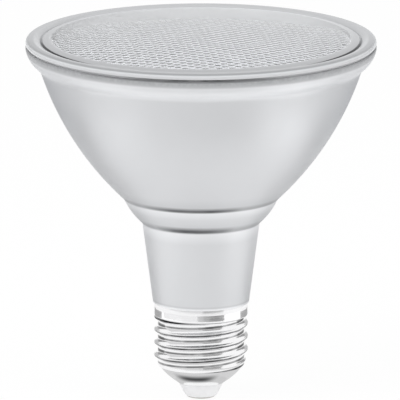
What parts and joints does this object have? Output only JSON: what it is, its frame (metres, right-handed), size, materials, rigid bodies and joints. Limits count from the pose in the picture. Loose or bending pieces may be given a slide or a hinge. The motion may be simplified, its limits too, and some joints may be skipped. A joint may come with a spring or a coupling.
{
  "type": "reflector spotlight lamp",
  "caption": "Sealed glass reflector lamp with a wide silvered bowl, patterned front lens, stepped shoulder, tapering neck and a metal screw cap with a centre contact.",
  "frame": {"origin": "centre of the contact's face, the lowest point of the lamp", "axes": "+Z along the lamp's axis, from the cap to the lens; the lamp is round, so X and Y are free"},
  "size_m": [0.097, 0.097, 0.1051],
  "materials": {
    "silvered_glass": "satin outside, silvered within",
    "lens_glass": "clear, pressed pattern on the back",
    "sealant": "cured sealant",
    "nickel_plate": "bright nickel plate, rolled",
    "white_insulator": "moulded",
    "contact_metal": "tinned"
  },
  "bodies": {
    "root": {"reflector_body": "silvered_glass", "front_lens": "lens_glass", "lens_seal": "sealant", "screw_shell": "nickel_plate", "insulator": "white_insulator", "centre_contact": "contact_metal"}
  },
  "joints": []
}
